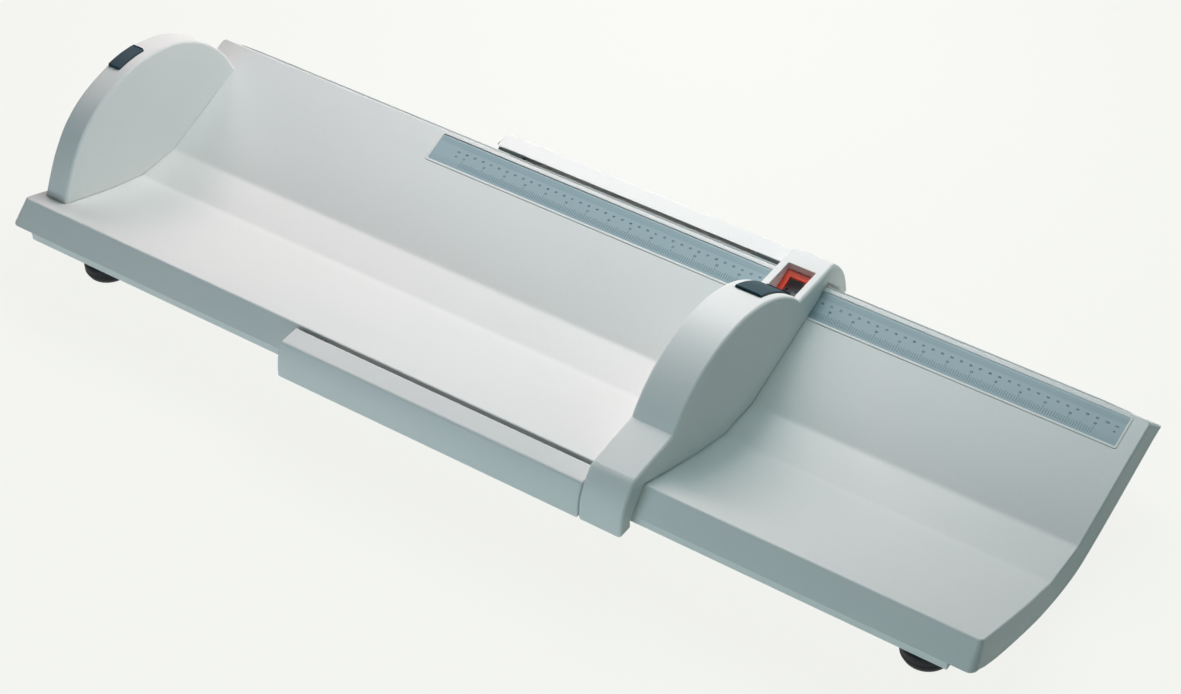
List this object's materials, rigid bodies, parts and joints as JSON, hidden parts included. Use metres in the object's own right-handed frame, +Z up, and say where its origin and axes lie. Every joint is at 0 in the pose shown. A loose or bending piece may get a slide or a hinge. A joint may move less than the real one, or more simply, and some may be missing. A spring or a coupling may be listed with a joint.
{
  "type": "infantometer",
  "caption": "Trough-shaped measuring board for lying infants, with a fixed head panel, a long scale and a sliding foot panel on two guide arms.",
  "frame": {"origin": "on the standing surface, under the middle of the whole board", "axes": "+X along the board from the head panel to the open end, +Y from the front edge to the rear edge with the scale, +Z up"},
  "size_m": [1.097, 0.3892, 0.1734],
  "materials": {
    "shell": "fine moulded texture, off-white",
    "scale": "printed film, blue-grey",
    "grip": "satin, dark teal",
    "red": "semi-gloss red",
    "rubber": "matt black",
    "steel": "zinc-plated",
    "acetal": "black"
  },
  "bodies": {
    "bed": {"base_pan": "shell", "foot_front_left": "rubber", "foot_front_right": "rubber", "foot_rear_left": "rubber", "foot_rear_right": "rubber", "foot_screw_front_left": "steel", "foot_screw_front_right": "steel", "foot_screw_rear_left": "steel", "foot_screw_rear_right": "steel", "head_grip": "grip", "head_panel": "shell", "head_panel_cover": "shell", "head_screw_front": "steel", "head_screw_rear": "steel", "pan_screw_1": "steel", "pan_screw_2": "steel", "pan_screw_3": "steel", "pan_screw_4": "steel", "rear_guide_rail": "shell", "scale_bezel": "shell", "scale_strip": "scale", "tray_shell": "shell"},
    "slide": {"arm_screw_front_lower": "steel", "arm_screw_front_upper": "steel", "arm_screw_rear_lower": "steel", "arm_screw_rear_upper": "steel", "base_screw_front_left": "steel", "base_screw_front_right": "steel", "base_screw_rear_left": "steel", "base_screw_rear_right": "steel", "foot_panel": "shell", "foot_panel_base": "shell", "front_guide_arm": "shell", "glide_front_left": "acetal", "glide_front_right": "acetal", "glide_rear_left": "acetal", "glide_rear_right": "acetal", "keeper_front_left": "acetal", "keeper_front_right": "acetal", "keeper_rear_left": "acetal", "keeper_rear_right": "acetal", "keeper_screw_front_left": "steel", "keeper_screw_front_right": "steel", "keeper_screw_rear_left": "steel", "keeper_screw_rear_right": "steel", "reading_frame": "red", "rear_guide_arm": "shell"},
    "brake": {"thumb_pad": "grip", "brake_plunger": "acetal", "brake_shoe": "rubber", "brake_spring": "steel"}
  },
  "joints": [
    {"name": "foot_slide", "type": "slide", "parent": "bed", "child": "slide", "axis": [1, 0, 0], "range_m": [-0.3358, 0.3342]},
    {"name": "brake_press", "type": "slide", "parent": "slide", "child": "brake", "axis": [0, 0, -1], "range_m": [0, 0.0025], "stiffness_N_per_m": 800, "springref_m": -0.004, "deforming": ["brake_spring"]}
  ]
}
